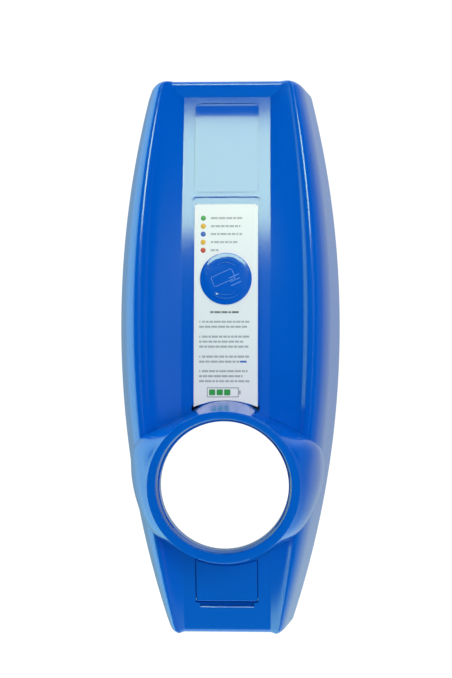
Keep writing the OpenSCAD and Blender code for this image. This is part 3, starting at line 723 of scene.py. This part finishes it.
def makeWindow():
    w = window
    half, low, high = w["width"] / 2, w["z"] - w["height"] / 2, w["z"] + w["height"] / 2
    o = stripPlate("status_window", (-half, half), (low, high), w["sunk"], w["thickness"])
    # the top of the window leans back a little
    leanFrom = high - w["leanLength"]
    for v in o.data.vertices:
        v.co.y += w["leanBy"] * (max(0, v.co.z - leanFrom) / w["leanLength"]) ** 2
    inset = 1e-5
    outline = block("outline", (inset - half, half - inset), (0.05, 0.2), (low + inset, high - inset))
    roundEdges(outline, w["corner"], alongDepth, 8)
    combine(o, outline, "INTERSECT")
    softenEdges(o, 0.0002, 2)
    paint(o, smoothBlue)
    return smooth(o, 20)


def makeLabel():
    # printed plate: straight sides, rounded top corners, and a bottom cut to the collar's arc
    rows = []
    half, n = label["width"] / 2, 48
    for i in range(n + 1):
        row = []
        for j in range(25):
            x = mix(-half, half, j / 24)
            corner = label["corner"]
            inset = corner - math.sqrt(max(0, corner ** 2 - max(0, abs(x) - (half - corner)) ** 2))
            low = bay["z"] + math.sqrt(label["arc"] ** 2 - x * x)
            z = mix(low, label["top"] - inset, i / n)
            row.append((x, stripDepth(z) - label["sunk"], z))
        rows.append(row)
    o = thicken(sheetGrid("label_plate", rows), label["thickness"])
    return softenEdges(o, 0.00015, 1, 60)


windowPiece = makeWindow()
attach(windowPiece, "cover")
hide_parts("window_panel")
plate = makeLabel()
paint(plate, labelWhite)
smooth(plate)
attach(plate, "cover")
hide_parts("instruction_label")
print("window and label done")


# print on the label: five status dots with bars beside them, and three kinds of bar in place of words
printing = {"thickness": 0.00012, "dotRadius": 0.00275, "dotX": -0.0245, "lineHeight": 0.0021,
            "dots": (0.1498, 0.1411, 0.1326, 0.1239, 0.1152),
            "lineEnds": (0.0185, 0.0150, 0.0175, 0.0120, -0.0070),
            "left": -0.0282, "lineLeft": -0.0165, "lineStep": 0.0053, "wordGap": 0.0009}


def bar(x, z, height=None, lift=0.0):
    d = stripDepth(z) - label["sunk"]
    h = (height or printing["lineHeight"]) / 2
    return follow(block("bar", x, (d - 0.0003, d + printing["thickness"] + lift), (z - h, z + h)), z)


def wordBars(left, right, z, seed, height=None):
    # bars as long as words, with gaps between them
    bars, x, k = [], left, seed
    while x < right - 0.0012:
        k = (k * 37 + 11) % 101
        length = min(0.0024 + 0.0052 * k / 100, right - x)
        bars.append(bar((x, x + length), z, height))
        x += length + printing["wordGap"]
    return bars


def groupPrint(name, bars, material):
    o = bars[0]
    joinTo(o, bars[1:])
    o.name = name
    paint(o, material)
    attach(o, "cover")
    return o


dotColours = [printGreen, printYellow, printBlue, printYellow, printRed]
for k, (z, material) in enumerate(zip(printing["dots"], dotColours)):
    d = stripDepth(z) - label["sunk"]
    dot = rod("status_dot_%d" % (k + 1), printing["dotRadius"], printing["dotX"], (d - 0.0004, d + 0.0003), z,
              sides=40)
    follow(softenEdges(dot, 0.00015, 2), z)
    paint(dot, material)
    smooth(dot)
    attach(dot, "cover")
lines = []
for k, (z, end) in enumerate(zip(printing["dots"], printing["lineEnds"])):
    lines += wordBars(printing["lineLeft"], end, z, 5 + k)
groupPrint("label_status_lines", lines, printSoft)
groupPrint("label_title", wordBars(printing["lineLeft"], 0.0145, 0.0490, 3, 0.0020), printGrey)
lines = []
steps = [(0.0388, (0.0335, 0.0250, 0.0225)), (0.0230, (0.0258, 0.0186, 0.0240)), (0.0018, (0.0262, 0.0145)),
         (-0.0136, (0.0232, 0.0180, 0.0252))]
for k, (top, ends) in enumerate(steps):
    for n, end in enumerate(ends[1:] if k == 0 else ends):
        lines += wordBars(printing["left"] + (0.0 if n else 0.0030), end, top - n * printing["lineStep"],
                          7 * k + n)
        if n == 0:
            lines.append(bar((printing["left"], printing["left"] + 0.0013), top, 0.0019))
groupPrint("label_steps", lines, printSoft)
groupPrint("label_accent", [bar((0.0152, 0.0222), -0.0035, 0.0019)], printBlue)
# plain battery mark at the foot of the label
battery = {"left": -0.0200, "right": 0.0140, "z": -0.0360, "height": 0.0100, "line": 0.0011, "tip": 0.0020,
           "cell": 0.0066, "cellHeight": 0.0062, "cells": (-0.0176, -0.0096, -0.0016)}
left, right, line, z = (battery[key] for key in ("left", "right", "line", "z"))
mark = [bar((left, right), -0.0312, line), bar((left, right), -0.0408, line),
        bar((left, left + line), z, battery["height"]), bar((right - line, right), z, battery["height"]),
        bar((right, right + battery["tip"]), z, 0.0040)]
groupPrint("label_mark_case", mark, printSoft)
cells = [roundEdges(bar((x, x + battery["cell"]), z, battery["cellHeight"], 0.0001), 0.0008, alongDepth, 3)
         for x in battery["cells"]]
groupPrint("label_mark_cells", cells, printGreen)
print("label print done")


def arcCutter(radius, span, up, thickness=0.0006):
    # a bent round bar, kept only where it is within span of straight up or down
    d = stripDepth(disc["z"]) + disc["proud"]
    deselect()
    bpy.ops.mesh.primitive_torus_add(major_segments=72, minor_segments=8, major_radius=radius,
                                     minor_radius=thickness, location=(0, 0, 0), rotation=(math.pi / 2, 0, 0))
    o = bake(bpy.context.object)
    only(o)
    mesh = o.data
    bpy.ops.object.mode_set(mode="EDIT")
    bpy.ops.mesh.select_all(action="DESELECT")
    bpy.ops.object.mode_set(mode="OBJECT")
    for v in mesh.vertices:
        turned = math.degrees(math.atan2(v.co.z, v.co.x)) - (90 if up else -90)
        away = abs((turned + 180) % 360 - 180)
        v.select = away > span
    bpy.ops.object.mode_set(mode="EDIT")
    bpy.ops.mesh.select_mode(type="VERT")
    bpy.ops.mesh.delete(type="VERT")
    bpy.ops.mesh.select_all(action="SELECT")
    bpy.ops.mesh.fill_holes(sides=0)
    bpy.ops.mesh.normals_make_consistent(inside=False)
    bpy.ops.object.mode_set(mode="OBJECT")
    for v in mesh.vertices:
        v.co.y -= d
        v.co.z += disc["z"]
    return o


def tiltedBar(x, z, length, height, angle, depths, corner):
    o = block("bar", (-length / 2, length / 2), depths, (-height / 2, height / 2))
    roundEdges(o, corner, alongDepth, 4)
    o.rotation_euler = (0, math.radians(-angle), 0)
    bake(o)
    o.location = (x, 0, z)
    return bake(o)


# what is pressed into the disc, with a lighter blue painted over the pressed lines as their highlight: pairs
# of arcs, a tilted card and three short waves
emblem = {"arcs": ((0.0212, 42), (0.0172, 36)), "x": -0.0030, "up": 0.0010, "tilt": 24,
          "card": (0.0234, 0.0104), "rim": (0.0246, 0.0116), "pressed": (0.0250, 0.0120),
          "waveX": 0.0110, "waveDrop": 0.0052, "waveLength": 0.0120, "stepX": 0.0012, "stepZ": 0.0040}


def cardBar(size, depths, corner):
    return tiltedBar(emblem["x"], disc["z"] + emblem["up"], *size, emblem["tilt"], depths, corner)


def waveBar(k, height, depths):
    x, z = emblem["waveX"] - emblem["stepX"] * k, disc["z"] - emblem["waveDrop"] + emblem["stepZ"] * k
    return tiltedBar(x, z, emblem["waveLength"], height, emblem["tilt"], depths, 0.0003)


def makeDisc():
    # shallow button with two pairs of arcs and a plain card pressed into it
    d = stripDepth(disc["z"])
    o = rod("card_reader_button", disc["radius"], 0, (d - 0.0030, d + disc["proud"]), disc["z"], sides=128)
    roundEdges(o, 0.0007, lambda a, b: min(-a.y, -b.y) > d and abs(a.y - b.y) < 1e-6, 3)
    for radius, span in emblem["arcs"]:
        for up in (True, False):
            combine(o, arcCutter(radius, span, up))
    front = d + disc["proud"]
    combine(o, cardBar(emblem["pressed"], (front - 0.0005, front + 0.002), 0.0016))
    combine(o, cardBar(emblem["card"], (front - 0.0015, front - 0.00005), 0.0012), "UNION")
    for k in range(3):
        combine(o, waveBar(k, 0.0007, (front - 0.0005, front + 0.002)))
    softenEdges(o, 0.00012, 1, 50)
    return follow(o, disc["z"])


reader = makeDisc()
paint(reader, smoothBlue)
smooth(reader, 30)
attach(reader, "cover")
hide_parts("card_reader_disc")
# the same arcs and the card's outline, with the waves, again in a lighter blue: a painted highlight along the
# pressed lines
marks = []
for radius, span in emblem["arcs"]:
    marks += [arcCutter(radius, span, up, 0.0003) for up in (True, False)]
front = stripDepth(disc["z"]) + disc["proud"]
rimBar = cardBar(emblem["rim"], (front - 0.0004, front + 0.0001), 0.0016)
marks.append(combine(rimBar, cardBar(emblem["card"], (front - 0.002, front + 0.002), 0.0012)))
marks += [waveBar(k, 0.0008, (front - 0.0006, front + 0.0001)) for k in range(3)]
joinTo(marks[0], marks[1:])
readerMarks = follow(marks[0], disc["z"])
readerMarks.name = "card_reader_painted_highlight"
paint(readerMarks, paintedHighlightBlue)
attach(readerMarks, "cover")
print("card reader disc done")


def makeHatch():
    rows = []
    half, n = hatch["width"] / 2, 24
    bottom = hatch["z"] + hatch["gap"]
    for i in range(n + 1):
        row = []
        for j in range(25):
            x = mix(-half, half, j / 24)
            z = mix(bottom, bay["z"] - math.sqrt(hatch["arc"] ** 2 - x * x), i / n)
            row.append((x, stripDepth(z) - hatch["sunk"], z))
        rows.append(row)
    o = thicken(sheetGrid("service_hatch_lid", rows), hatch["thickness"])
    softenEdges(o, 0.0006, 3, 60)
    barrel = rod("barrel", pin["radius"] + 0.0013, (-half, half), pin["depth"], pin["z"], axis="X", sides=40)
    combine(o, barrel, "UNION")
    bore = rod("bore", pin["radius"] + 0.00006, (-half - 0.01, half + 0.01), pin["depth"], pin["z"], axis="X",
               sides=32)
    combine(o, bore)
    return o


lid = makeHatch()
paint(lid, coverBlue)
smooth(lid)
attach(lid, "hatch")
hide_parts("service_hatch")
print("hatch done")

# finishes of the parts kept from the frame
finishes = [
    (zincSteel, ("wall_bracket", "bracket_screws", "hinge_rod", "din_rail", "rail_screws", "power_supply",
                 "board_screws", "clamp_screws", "lock_keeper", "reader_screws", "hatch_pin", "lock_barrel")),
    (housingGrey, ("back_housing", "housing_surround", "bay_tunnel", "wiring_duct", "duct_lid")),
    (deviceGrey, ("contactor", "breaker_body", "energy_meter", "terminal_block")),
    (rubberBlack, ("housing_seal", "cable_grommet")),
    (darkPlastic, ("modem_antenna", "cord_clamp")),
    (boardGreen, ("controller_board", "card_reader_board", "led_board")),
    (brass, ("board_standoffs", "earth_stud", "lock_plug")),
    (leverBlue, ("breaker_lever",)),
    (buttonYellow, ("breaker_test_button",)),
    (milky, ("light_ring",))]
for material, names in finishes:
    for name in names:
        paint(nodes[name], material)
print("finishes set")

deselect()
bpy.ops.mesh.primitive_circle_add(vertices=96, radius=studio["floorRadius"], fill_type="NGON",
                                  location=(0, 0, studio["floorZ"]))
floor = bpy.context.object
floor.name = "studio_floor"
pale = plastic("paleFloor", (0.93, 0.94, 0.95), 0.6, cloud=0.01)
paleSkin = pale.node_tree.nodes["Principled BSDF"]
paleSkin.inputs["Emission Color"].default_value = (1, 1, 1, 1)
paleSkin.inputs["Emission Strength"].default_value = studio["floorGlow"]
paint(floor, pale)
floor.visible_glossy = False
floor.visible_diffuse = False
